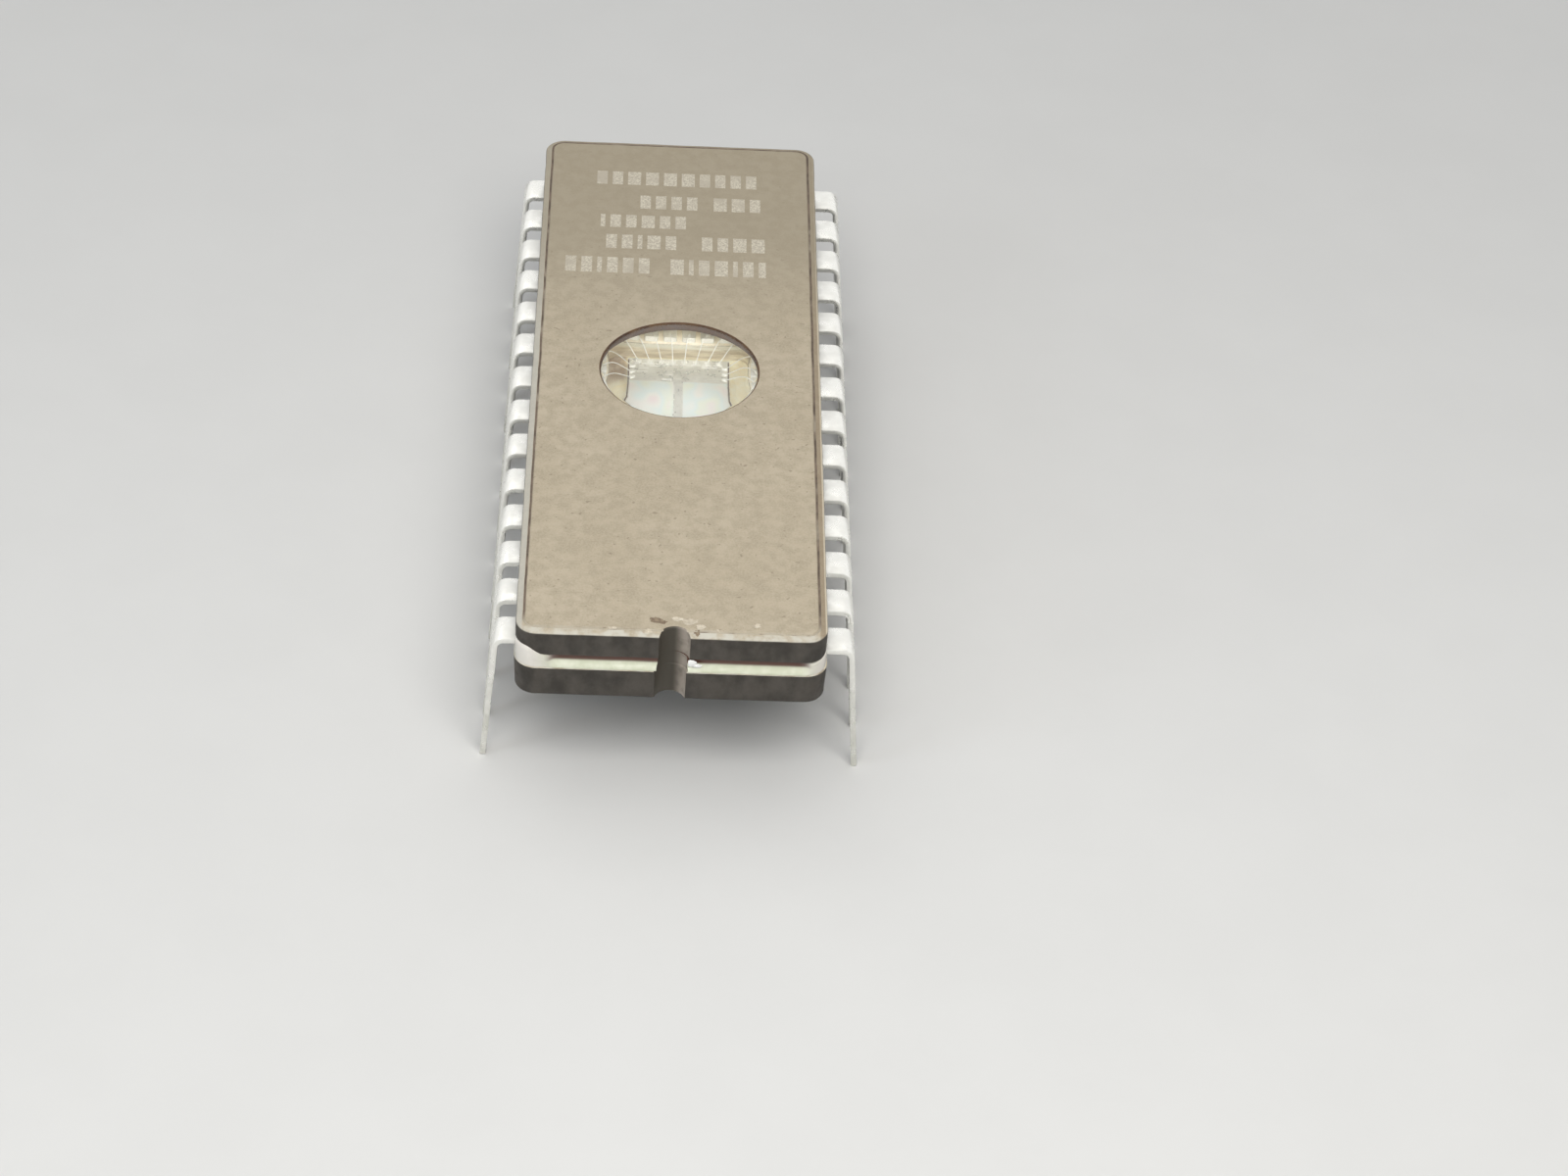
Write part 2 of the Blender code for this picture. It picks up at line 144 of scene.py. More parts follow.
# Printed rows: middle, half height and the spans that the blocks fill
PRINT_ROWS = [(15.3, 0.55, ((-4.1, 3.8),)), (13.3, 0.55, ((-2.0, 0.9), (1.5, 3.8))),
              (11.65, 0.52, ((-3.85, 0.55),)), (9.95, 0.56, ((-3.55, 0.2), (0.95, 3.95))),
              (8.0, 0.62, ((-5.4, -1.1), (-0.5, 3.95)))]
PRINT_WIDTHS, PRINT_GAP = (0.22, 0.5, 0.5, 0.62), 0.24

# Camera fitted to the lead shoulders in the photo; its angles are pitch, yaw and roll
CAMERA_PLACE, CAMERA_LENS = (-2.414, -140.829, 112.312), 88.95
CAMERA_ANGLES = (39.491, -3.172, 4.003)

# The floor fades between two distances from the object
FLOOR_HALF, FLOOR_DROP = 1500, 0.02
FLOOR_FADE = (50.0, 300.0)

# Strength of the room's light on rough surfaces
ROOM_LIGHT = 0.29

# In mirrors the room fades overhead: between which upward directions, and by how much
OVERHEAD, OVERHEAD_DIMMING = (0.78, 0.9), 0.8


class Nodes:
    """Short ways to add nodes to one tree."""

    def __init__(self, tree):
        self.tree = tree

    def put(self, socket, value):
        if isinstance(value, bpy.types.NodeSocket):
            self.tree.links.new(value, socket)
        elif isinstance(value, tuple) and len(value) == 3 and len(socket.default_value) == 4:
            socket.default_value = (*value, 1.0)
        else:
            socket.default_value = value

    def add(self, kind, values=None, **options):
        node = self.tree.nodes.new(f"ShaderNode{kind}")
        for key, value in options.items():
            setattr(node, key, value)
        for key, value in (values or {}).items():
            self.put(node.inputs[key], value)
        return node

    def vector(self, operation, a, b):
        return self.add("VectorMath", {0: a, 1: b}, operation=operation).outputs[0]

    def math(self, operation, a, b=0.0):
        return self.add("Math", {0: a, 1: b}, operation=operation, use_clamp=True).outputs[0]

    def ramp(self, value, low, high, to_low=0.0, to_high=1.0, smooth=True):
        values = {"Value": value, "From Min": low, "From Max": high, "To Min": to_low,
                  "To Max": to_high}
        kind = "SMOOTHSTEP" if smooth else "LINEAR"
        return self.add("MapRange", values, interpolation_type=kind, clamp=True).outputs[0]

    def mix(self, factor, a, b, blend="MIX"):
        node = self.add("Mix", data_type="RGBA", blend_type=blend)
        self.put(node.inputs[0], factor)
        self.put(node.inputs[6], a)
        self.put(node.inputs[7], b)
        return node.outputs[2]


class Graph(Nodes):
    """Procedural nodes of one material, with object coordinates in millimetres."""

    def __init__(self, name, roughness=0.5, metallic=0.0):
        self.material = bpy.data.materials.new(name)
        self.material.use_nodes = True
        super().__init__(self.material.node_tree)
        self.shader = self.tree.nodes["Principled BSDF"]
        self.shader.inputs["Roughness"].default_value = roughness
        self.shader.inputs["Metallic"].default_value = metallic
        place = self.add("TexCoord")
        self.place = self.vector("MULTIPLY", place.outputs["Object"], (1 / MM,) * 3)

    def axis(self, name):
        return self.add("SeparateXYZ", {0: self.place}).outputs[name]

    def noise(self, size, detail=3.0, stretch=(1.0, 1.0, 1.0), rough=0.55):
        """Noise from about 0.2 to 0.8 whose blotches are about size millimetres across."""
        place = self.vector("MULTIPLY", self.place, tuple(s / size for s in stretch))
        values = {"Vector": place, "Scale": 1.0, "Detail": detail, "Roughness": rough}
        return self.add("TexNoise", values).outputs[0]

    def bump(self, height, depth, strength=1.0):
        """Bump of depth millimetres."""
        node = self.add("Bump", {"Height": height, "Distance": depth * MM, "Strength": strength})
        self.put(self.shader.inputs["Normal"], node.outputs[0])

    def finish(self, colour, roughness=None):
        self.put(self.shader.inputs["Base Color"], colour)
        if roughness is not None:
            self.put(self.shader.inputs["Roughness"], roughness)
        return self.material


def ceramic_material():
    """Pressed alumina: a mottled taupe top face, and darker sides and underside. The split by
    facing direction is painted light: painted sheen lightens the top and painted shade darkens the
    sides.
    """
    g = Graph("pressed_ceramic", 0.72)
    g.shader.inputs["Specular IOR Level"].default_value = 0.3
    cloud = g.ramp(g.noise(3.5, 4.0), 0.32, 0.68)
    patch = g.ramp(g.noise(0.55, 5.0, rough=0.65), 0.34, 0.66)
    grain = g.noise(0.09, 2.0)
    top = g.mix(cloud, (0.458, 0.392, 0.289), (0.507, 0.439, 0.332))
    top = g.mix(g.math("MULTIPLY", patch, 0.75), top, (0.371, 0.316, 0.232))
    top = g.mix(g.ramp(grain, 0.3, 0.7, 0.0, 0.4), top, (0.557, 0.487, 0.376))
    top = g.mix(g.ramp(g.noise(0.22, 1.0), 0.70, 0.76, 0.0, 0.5), top, (0.209, 0.172, 0.123))
    # Border on the right: a painted shade line in brown inside and a painted highlight line in
    # cream outside
    right = g.ramp(g.axis("X"), 6.0, 6.08, 0.0, 0.55)
    right = g.math("SUBTRACT", right, g.ramp(g.axis("X"), 6.26, 6.34))
    top = g.mix(right, top, (0.25, 0.185, 0.12))
    top = g.mix(g.ramp(g.axis("X"), 6.25, 6.32), top, (0.689, 0.615, 0.48))
    # Painted light on the border: a painted bluish reflection on the left, a patchy painted
    # highlight at the notched end and painted shade at the far end
    left = g.ramp(g.axis("X"), -6.3, -6.4, 0.0, 0.6)
    top = g.mix(left, top, (0.517, 0.517, 0.48))
    near = g.ramp(g.axis("Y"), -18.1, -18.3)
    near = g.math("MULTIPLY", near, g.ramp(g.noise(0.5, 3.0), 0.3, 0.6))
    top = g.mix(near, top, (0.578, 0.553, 0.48))
    far = g.ramp(g.axis("Y"), 18.15, 18.25, 0.0, 0.5)
    top = g.mix(far, top, (0.234, 0.178, 0.129))
    # Painted shade: darker towards the far end, where less light falls
    top = g.mix(g.ramp(g.axis("Y"), 1.5, 11.5, 0.0, 0.75), top, (0.352, 0.304, 0.225))
    # Painted light: the sides get a dark painted-shade colour, and faces that point up get the
    # lighter top colour as painted sheen
    streak = g.ramp(g.noise(0.8, 4.0, (1.0, 1.0, 0.6)), 0.3, 0.7)
    side = g.mix(streak, (0.0418, 0.0375, 0.032), (0.0763, 0.0677, 0.0578))
    up = g.add("SeparateXYZ", {0: g.add("NewGeometry").outputs["Normal"]}).outputs["Z"]
    side = g.mix(g.ramp(up, -0.5, -0.95), side, (0.129, 0.116, 0.0984))
    colour = g.mix(g.ramp(up, 0.2, 0.7), side, top)
    relief = g.math("ADD", g.math("MULTIPLY", grain, 0.6), g.math("MULTIPLY", patch, 0.4))
    g.bump(relief, 0.012, 0.8)
    return g.finish(colour, g.ramp(patch, 0.0, 1.0, 0.62, 0.8))


def plain_material(name, dark, light, size, roughness, metallic=0.0, bump=0.004):
    """Two close tones in soft blotches, with fine bumps and uneven gloss."""
    g = Graph(name, roughness, metallic)
    blotch = g.ramp(g.noise(size, 4.0), 0.3, 0.7)
    g.bump(g.noise(size / 4, 3.0), bump, 0.7)
    gloss = g.ramp(blotch, 0.0, 1.0, roughness * 0.8, min(roughness * 1.25, 1.0))
    return g.finish(g.mix(blotch, dark, light), gloss)


def tin_material():
    """Bright tin with faint rolling lines, duller patches and a dull haze down the legs."""
    g = Graph("tinned_leads", 0.36, 0.85)
    lines = g.noise(0.05, 2.0, (1.0, 1.0, 0.08))
    patch = g.ramp(g.noise(0.6, 4.0), 0.35, 0.7)
    low = g.ramp(g.axis("Z"), 5.6, 1.5, 0.0, 0.75)
    haze = g.math("MULTIPLY", low, g.ramp(g.noise(0.9, 3.0), 0.25, 0.65))
    colour = g.mix(patch, (0.945, 0.94, 0.892), (0.875, 0.87, 0.825))
    colour = g.mix(haze, colour, (0.672, 0.672, 0.609))
    g.bump(g.math("ADD", g.math("MULTIPLY", lines, 0.5), g.math("MULTIPLY", patch, 0.3)), 0.004)
    return g.finish(colour, g.ramp(patch, 0.0, 1.0, 0.27, 0.42))


def seal_glass_material():
    """Solder glass: pale and glossy where it runs out at the ends, with painted shade in dark brown
    along the sides and in a dark line under the cap's edge.
    """
    g = Graph("seal_glass", 0.16)
    blotch = g.noise(0.7, 3.0)
    pale = g.mix(g.ramp(blotch, 0.35, 0.65), (0.603, 0.627, 0.474), (0.72, 0.738, 0.597))
    corner = g.math("MAXIMUM", g.ramp(g.axis("X"), -5.0, -5.45), g.ramp(g.axis("X"), 5.45, 5.9))
    shade = g.math("MULTIPLY", g.ramp(g.axis("Z"), 6.98, 7.12), g.math("SUBTRACT", 1.0, corner))
    pale = g.mix(shade, pale, (0.105, 0.0492, 0.0344))
    climbed = g.math("MAXIMUM", g.ramp(g.axis("X"), -4.7, -6.0, 0.0, 0.7),
                     g.ramp(g.axis("X"), 5.2, 6.2, 0.0, 0.7))
    pale = g.mix(climbed, pale, (0.787, 0.726, 0.701))
    # Painted shade: the sides between the leads are dark brown
    dark = g.mix(g.ramp(blotch, 0.35, 0.65), (0.0738, 0.0517, 0.0418), (0.129, 0.0922, 0.0738))
    far = g.ramp(g.axis("Y"), 17.2, 17.7)
    near = g.ramp(g.axis("Y"), -17.2, -17.7)
    g.bump(g.noise(0.5, 2.0), 0.02, 0.6)
    return g.finish(g.mix(g.math("MAXIMUM", far, near), dark, pale))


def window_material():
    """Clear glass that lets light straight through to the cavity."""
    g = Graph("window_glass", 0.012)
    g.shader.inputs["Transmission Weight"].default_value = 1.0
    g.shader.inputs["IOR"].default_value = 1.47
    g.bump(g.noise(1.6, 2.0), 0.006, 0.5)
    g.finish((0.995, 1.0, 0.985))
    rays = g.add("LightPath").outputs
    direct = g.math("MAXIMUM", rays["Is Shadow Ray"], rays["Is Diffuse Ray"])
    clear = g.add("BsdfTransparent", {"Color": (0.965, 0.97, 0.945)})
    mixed = g.add("MixShader", {0: direct, 1: g.shader.outputs[0], 2: clear.outputs[0]})
    g.put(g.tree.nodes["Material Output"].inputs["Surface"], mixed.outputs[0])
    return g.material


def array_material():
    """Cell arrays of the die: a pale mirror with faint pink, blue and green interference tints."""
    g = Graph("cell_array", 0.34, 0.55)
    cloud = g.ramp(g.noise(1.1, 1.0, (1.0, 0.7, 1.0)), 0.3, 0.7, smooth=False)
    tint = g.add("ValToRGB", {"Fac": cloud})
    stops = [(0.0, (0.98, 0.87, 0.89)), (0.3, (0.98, 0.98, 0.95)), (0.55, (0.89, 0.98, 0.98)),
             (0.8, (0.95, 0.99, 0.89)), (1.0, (0.99, 0.92, 0.93))]
    while len(tint.color_ramp.elements) < len(stops):
        tint.color_ramp.elements.new(0.5)
    for element, (position, colour) in zip(tint.color_ramp.elements, stops):
        element.position = position
        element.color = (*colour, 1.0)
    cells = g.add("TexWave", {"Vector": g.place, "Scale": 9.0, "Distortion": 0.0},
                  wave_type="BANDS", bands_direction="Y").outputs[0]
    g.bump(cells, 0.001, 0.3)
    return g.finish(g.mix(g.ramp(cells, 0.2, 0.8, 0.0, 0.08), tint.outputs[0], (0.62, 0.62, 0.62)))


def groove_material():
    """Painted shade in the groove round the border, which fades out towards the notched end."""
    g = Graph("border_groove", 0.8)
    blotch = g.ramp(g.noise(0.8, 4.0), 0.3, 0.7)
    groove_shade = g.mix(blotch, (0.0922, 0.0689, 0.0517), (0.209, 0.16, 0.121))
    near = g.ramp(g.axis("Y"), -17.2, -18.1)
    # Paler where the painted shade gives out: towards the notched end and in patches
    worn = g.math("MULTIPLY", near, g.ramp(g.noise(0.7, 3.0), 0.2, 0.5))
    worn = g.math("MAXIMUM", worn, g.ramp(g.noise(1.5, 3.0), 0.5, 0.75, 0.0, 0.6))
    g.bump(g.noise(0.15, 2.0), 0.01, 0.7)
    return g.finish(g.mix(worn, groove_shade, (0.455, 0.406, 0.32)))


def notch_material():
    """Wall of the notch with painted light: painted shade on the left and paler painted light, in
    patches, on the right.
    """
    g = Graph("notch_wall", 0.6)
    right = g.ramp(g.axis("X"), -0.05, 0.5)
    painted_light_right = g.math("MULTIPLY", right, g.ramp(g.noise(0.4, 3.0), 0.2, 0.55, 0.5))
    g.bump(g.noise(0.12, 3.0), 0.012, 0.7)
    return g.finish(g.mix(painted_light_right, (0.0517, 0.0443, 0.032), (0.369, 0.32, 0.271)))


def wall_material():
    """Glazed wall of the cavity, with a painted highlight along its upper edge."""
    g = Graph("cavity_wall", 0.35)
    streak = g.noise(0.35, 3.0, (0.25, 0.25, 1.6))
    colour = g.mix(g.ramp(streak, 0.3, 0.7), (0.615, 0.517, 0.369), (0.97, 0.878, 0.693))
    # Painted highlight along the upper edge of the wall
    rim = g.math("MULTIPLY", g.ramp(g.axis("Z"), 6.36, 6.58), g.ramp(streak, 0.25, 0.5, 0.4))
    g.bump(streak, 0.02, 0.7)
    return g.finish(g.mix(rim, colour, (0.97, 0.94, 0.82)))


def gold_material():
    """Satin gold under and round the die, with painted shade in brown in one corner."""
    g = Graph("die_attach", 0.36, 0.35)
    blotch = g.ramp(g.noise(0.5, 4.0), 0.3, 0.7)
    colour = g.mix(blotch, (0.97, 0.876, 0.626), (1.0, 0.97, 0.83))
    # Painted shade: brown in the far left corner
    corner_shade = g.math("MULTIPLY", g.ramp(g.axis("X"), -2.2, -2.5), g.ramp(g.axis("Y"), 1.7, 2.6))
    corner_shade = g.math("MULTIPLY", corner_shade, g.ramp(g.noise(0.7, 3.0), 0.25, 0.55, 0.35))
    g.bump(g.noise(0.12, 3.0), 0.01, 0.7)
    gloss = g.ramp(blotch, 0.0, 1.0, 0.28, 0.46)
    return g.finish(g.mix(corner_shade, colour, (0.418, 0.307, 0.197)), gloss)


def floor_material():
    """Pale matt floor that fades into the pale room well away from the object."""
    g = Graph("pale_floor", 0.9)
    blotch = g.ramp(g.noise(6.0, 4.0), 0.3, 0.7)
    g.bump(g.noise(0.8, 3.0), 0.004, 0.7)
    g.finish(g.mix(blotch, (0.695, 0.695, 0.689), (0.707, 0.707, 0.701)))
    away = g.add("VectorMath", {0: g.place}, operation="LENGTH").outputs["Value"]
    room = g.add("BsdfTransparent", {"Color": (1.0, 1.0, 1.0)})
    faded = {0: g.ramp(away, *FLOOR_FADE), 1: g.shader.outputs[0], 2: room.outputs[0]}
    mixed = g.add("MixShader", faded)
    g.put(g.tree.nodes["Material Output"].inputs["Surface"], mixed.outputs[0])
    return g.material


def mark_material():
    """Pale ink, worn in fine specks and in larger patches."""
    g = Graph("print_ink", 0.7)
    worn = g.ramp(g.noise(0.07, 2.0), 0.36, 0.62)
    worn = g.math("MAXIMUM", worn, g.ramp(g.noise(1.3, 2.0), 0.48, 0.68, 0.0, 0.8))
    colour = g.mix(worn, (0.664, 0.615, 0.504), (0.455, 0.406, 0.326))
    g.bump(worn, 0.004, 0.5)
    return g.finish(colour)


CERAMIC = ceramic_material()
FRACTURE = plain_material("fractured_ceramic", (0.455, 0.394, 0.301), (0.689, 0.627, 0.517),
                          0.25, 0.85, bump=0.02)
STAIN = plain_material("brown_chip", (0.191, 0.138, 0.0935), (0.344, 0.277, 0.197), 0.2, 0.8,
                       bump=0.02)
GROOVE = groove_material()
NOTCH = notch_material()
BORE = plain_material("window_bore", (0.058, 0.024, 0.011), (0.135, 0.075, 0.038), 0.6, 0.6)
LEDGE = plain_material("cavity_ledge", (0.886, 0.775, 0.603), (0.97, 0.907, 0.759), 0.5, 0.3)
WALL = wall_material()
GOLD = gold_material()
TIN = tin_material()
ALUMINIUM = plain_material("aluminium_tips", (0.92, 0.91, 0.87), (0.99, 0.98, 0.95), 0.3, 0.35, 0.5)
SEAL = seal_glass_material()
WINDOW = window_material()
SILICON = plain_material("silicon_die", (0.70, 0.69, 0.645), (0.84, 0.83, 0.78), 0.5, 0.32, 0.5,
                         0.001)
ARRAY = array_material()
STRIPE = plain_material("decoder_stripe", (0.70, 0.69, 0.645), (0.78, 0.77, 0.72), 0.3, 0.34,
                        0.5, 0.001)
CIRCUIT = plain_material("die_circuit", (0.66, 0.645, 0.60), (0.82, 0.81, 0.76), 0.2, 0.35, 0.5,
                         0.002)
METAL = plain_material("die_metal", (0.95, 0.94, 0.91), (1.0, 0.99, 0.97), 0.2, 0.4, 0.3, 0.002)
# Drops of glass, near-white as painted glints
GLINT_DROP = plain_material("glass_drop", (0.82, 0.82, 0.79), (0.93, 0.93, 0.91), 0.15, 0.14)
INK = mark_material()


def piece_from(bm, name, materials, nodes=(), slot=None, sharp=35.0):
    """One visual piece from a bmesh in millimetres, made in metres and tied to the CAD."""
    bmesh.ops.recalc_face_normals(bm, faces=bm.faces)
    bmesh.ops.scale(bm, vec=(MM,) * 3, verts=bm.verts)
    mesh = bpy.data.meshes.new(name)
    bm.to_mesh(mesh)
    bm.free()
    for material in materials:
        mesh.materials.append(material)
    piece = bpy.data.objects.new(name, mesh)
    bpy.context.scene.collection.objects.link(piece)
    smooth(mesh, sharp)
    if slot:
        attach(piece, "root")
    if nodes:
        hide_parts(*nodes)
    return piece


def smooth(mesh, sharp):
    mesh.polygons.foreach_set("use_smooth", [True] * len(mesh.polygons))
    mesh.set_sharp_from_angle(angle=math.radians(sharp))


def cut(piece, cutters, sharp=35.0):
    """The piece less its cutters, whose own materials line the cuts."""
    for cutter in cutters:
        step = piece.modifiers.new(cutter.name, "BOOLEAN")
        step.operation = "DIFFERENCE"
        step.solver = "EXACT"
        step.material_mode = "TRANSFER"
        step.use_self = cutter.name.startswith("pits")
        step.object = cutter
    shaped = piece.evaluated_get(bpy.context.evaluated_depsgraph_get())
    mesh = bpy.data.meshes.new_from_object(shaped)
    piece.modifiers.clear()
    piece.data = mesh
    for cutter in cutters:
        bpy.data.objects.remove(cutter, do_unlink=True)
    smooth(mesh, sharp)
    even = piece.modifiers.new("Even normals", "WEIGHTED_NORMAL")
    even.keep_sharp = True


def outline(half_x, half_y, centre_x, radius, step=0.6, corner_steps=10):
    """Points round a rounded rectangle, each with its outward normal, counterclockwise."""
    x, y = half_x - radius, half_y - radius
    centres = [(centre_x + x, -y), (centre_x + x, y), (centre_x - x, y), (centre_x - x, -y)]
    points = []
    for i, centre in enumerate(centres):
        for k in range(corner_steps + 1):
            angle = math.pi / 2 * (i - 1 + k / corner_steps)
            normal = Vector((math.cos(angle), math.sin(angle)))
            points.append((Vector(centre) + radius * normal, normal))
        start = points[-1][0]
        end = Vector(centres[(i + 1) % 4]) + radius * normal
        count = max(1, round((end - start).length / step))
        points += [(start.lerp(end, k / count), normal) for k in range(1, count)]
    return points


def join_rings(bm, rings, slots=(), hollow=False):
    """Faces between following rings of points, with slots as materials by row.

    The last ring joins the first in a hollow skin, and otherwise both ends are filled.
    """
    slots = dict(slots)
    following = rings[1:] + (rings[:1] if hollow else [])
    for row, (lower, upper) in enumerate(zip(rings, following)):
        for a in range(len(lower)):
            b = (a + 1) % len(lower)
            face = bm.faces.new((lower[a], lower[b], upper[b], upper[a]))
            face.material_index = slots.get(row, 0)
    if not hollow:
        return bm.faces.new(rings[0][::-1]), bm.faces.new(rings[-1])


def shell(points, profile, wobble=0.0, climb=None, slots=(), hollow=False):
    """Skin through rings, each given as its inset from the outline and its height."""
    bm = bmesh.new()
    rings = []
    for inset, height in profile:
        ring = []
        for point, normal in points:
            depth, level = climb(point, inset, height) if climb else (inset, height)
            drift = wobble * noise.noise(Vector((point.x, point.y, height * 2)) * 0.8)
            place = point - normal * (depth + abs(drift))
            ring.append(bm.verts.new((*place, level)))
        rings.append(ring)
    join_rings(bm, rings, slots, hollow)
    return bm


def lathe(profile, centre, steps=96):
    """Solid of revolution; the profile gives radius and height from the bottom to the top."""
    bm = bmesh.new()
    rings = [[bm.verts.new((centre[0] + radius * math.cos(math.tau * k / steps),
                            centre[1] + radius * math.sin(math.tau * k / steps), height))
              for k in range(steps)] for radius, height in profile]
    join_rings(bm, rings)
    return bm


def arc(centre, radius, start, end, steps):
    """Points of a fillet in the inset and height plane."""
    angles = [math.radians(start + (end - start) * k / steps) for k in range(steps + 1)]
    return [(centre[0] + radius * math.cos(a), centre[1] + radius * math.sin(a)) for a in angles]


def notch_cutter(centre_x, low, high, material):
    """Half-round notch, a little wider at its upper edge."""
    profile = [(NOTCH_RADIUS, low - 1), (NOTCH_RADIUS, high - 0.06),
               (NOTCH_RADIUS + 0.05, high + 0.01), (NOTCH_RADIUS + 0.05, high + 1)]
    return piece_from(lathe(profile, (centre_x, NOTCH_Y), 64), "notch", [material])


def pit_cutter(pits, material):
    """Rough shallow pits, each given by its centre and its half sizes."""
    bm = bmesh.new()
    for centre, size in pits:
        lump = bmesh.ops.create_icosphere(bm, subdivisions=4, radius=1.0)["verts"]
        for vert in lump:
            rough = 1 + 0.45 * noise.noise(vert.co * 1.7 + Vector(centre))
            rough += 0.15 * noise.noise(vert.co * 5 + Vector(centre))
            vert.co = Vector(centre) + Vector([a * b for a, b in zip(vert.co * rough, size)])
    return piece_from(bm, "pits", [material])


def make_cap():
    points = outline(BODY_HALF_X, BODY_HALF_Y, BODY_SHIFT, CORNER_RADIUS)
    low, top = CAP_LOW.z, CAP_TOP
    edge = arc((DRAFT + EDGE_RADIUS, top - 0.21), EDGE_RADIUS, 180, 105, 5)
    profile = [(0.11, low), (0.08, low + 0.03), (0.07, low + 0.5), *edge]
    profile += [(BORDER_WIDTH - 0.06, top - 0.035), (BORDER_WIDTH - 0.02, top - 0.06),
                (BORDER_WIDTH + 0.03, top - 0.05), (BORDER_WIDTH + 0.06, top - 0.012),
                (BORDER_WIDTH + 0.11, top)]
    groove = range(len(profile) - 5, len(profile) - 3)
    bm = shell(points, profile, 0.03, slots=[(row, 1) for row in groove])
    cap = piece_from(bm, "cap", [CERAMIC, GROOVE], ["ceramic_cap"], "pressed_ceramic")
    recess = shell(outline(*OPENING_HALF, 0.0, CAVITY_RADIUS), [(0, low - 1), (0, CAP_CEILING)])
    flared = WINDOW_RADIUS + BORE_FLARE
    hole = [(flared, low - 1), (flared, CAP_CEILING), (WINDOW_RADIUS, FLARE_TOP),
            (WINDOW_RADIUS, top - 0.05), (WINDOW_RADIUS + 0.02, top - 0.015),
            (WINDOW_RADIUS + 0.07, top + 0.001), (WINDOW_RADIUS + 0.07, top + 1)]
    cut(cap, [piece_from(recess, "recess", [WALL]), piece_from(lathe(hole, (0, 0)), "hole", [BORE]),
              notch_cutter(0.0, low, top, NOTCH), pit_cutter(PALE_PITS, FRACTURE),
              pit_cutter(BROWN_PITS, STAIN)])


def make_base():
    points = outline(BODY_HALF_X, BODY_HALF_Y, BODY_SHIFT, CORNER_RADIUS)
    low, top = BASE_LOW.z, BASE_HIGH.z
    profile = arc((DRAFT + EDGE_RADIUS, low + EDGE_RADIUS), EDGE_RADIUS, 270, 180, 5)
    profile += [(0.0, top - 0.03), (0.03, top)]
    base = piece_from(shell(points, profile, 0.03), "base", [CERAMIC], ["ceramic_base"],
                      "pressed_ceramic")
    cavity = shell(outline(*CAVITY_HALF, 0.0, CAVITY_RADIUS),
                   [(0.12, CAVITY_FLOOR), (0.04, CAVITY_FLOOR + 0.05), (0.0, CAVITY_FLOOR + 0.15),
                    (0.0, top + 1)])
    for face in cavity.faces:
        face.material_index = 0 if face.calc_center_median().z < CAVITY_FLOOR + 0.12 else 1
    cut(base, [piece_from(cavity, "cavity", [GOLD, WALL]),
               notch_cutter(BODY_SHIFT, low, top, NOTCH)])


def ease(value, start, length):
    """Smooth step from 0 to 1 that starts at one value and takes a length."""
    share = min(1.0, max(0.0, (value - start) / length))
    return share * share * (3 - 2 * share)


def glass_climb(point, inset, height):
    """Inset and height of the seal glass, which comes forward and climbs the near corners."""
    start, reach = LEFT_CLIMB if point.x < 0 else RIGHT_CLIMB
    front, side = abs(point.x) - start, CLIMB_DEPTH - BODY_HALF_Y - point.y
    forward = min(ease(front, 0.0, 0.35), ease(side, 0.0, 0.35))
    climb = min(ease(front, 0.3, 1.0), ease(side, 0.3, 1.0))
    share = min(1.0, max(0.0, (height - GLASS_LOW.z) / (GLASS_HIGH.z - GLASS_LOW.z)))
    skin = 0.2 if share > 0.98 else 0.05 - 0.02 * math.sin(math.pi * share)
    return inset + (skin - inset) * forward, height + reach * climb * share


def add_drop(bm, centre, size):
    """Hardened drop of glass, in the second material."""
    lump = bmesh.ops.create_icosphere(bm, subdivisions=3, radius=1.0)["verts"]
    for vert in lump:
        rough = 1 - 0.7 * abs(noise.noise(vert.co * 1.6 + Vector(centre)))
        vert.co = Vector(centre) + Vector([a * b for a, b in zip(vert.co * rough, size)])
    for face in {face for vert in lump for face in vert.link_faces}:
        face.material_index = 1


def make_seal_glass():
    points = outline(BODY_HALF_X, BODY_HALF_Y, BODY_SHIFT, CORNER_RADIUS, 0.12, 24)
    low, top = GLASS_LOW.z - 0.01, GLASS_HIGH.z + 0.01
    profile = [(0.03, low), (0.0, low + 0.03), (0.01, low + 0.07), (0.05, low + 0.13),
               (0.12, low + 0.20), (0.19, low + 0.30), (0.22, low + 0.45), (0.235, top - 0.08),
               (0.24, top)]
    bm = shell(points, profile, 0.02, glass_climb)
    for (x, z), (width, height) in DROPS:
        add_drop(bm, (x, DROP_DEPTH - BODY_HALF_Y, z), (width, DROP_DEPTH, height))
    glass = piece_from(bm, "seal_glass_run", [SEAL, GLINT_DROP], ["seal_glass"], "seal_glass")
    opening = shell(outline(*OPENING_HALF, 0.0, CAVITY_RADIUS), [(0, low - 1), (0, top + 2)])
    cut(glass, [piece_from(opening, "opening", [LEDGE]),
                notch_cutter(BODY_SHIFT / 2, low, top + 1, NOTCH)], 50)


def ledge_swell(point, inset, height):
    """Uneven top of the glaze on the ledge."""
    uneven = 0.06 * noise.noise(Vector((point.x * 1.6, point.y * 1.6, inset * 2)))
    return inset, height + (uneven if height > BASE_HIGH.z + 0.02 else 0.0)


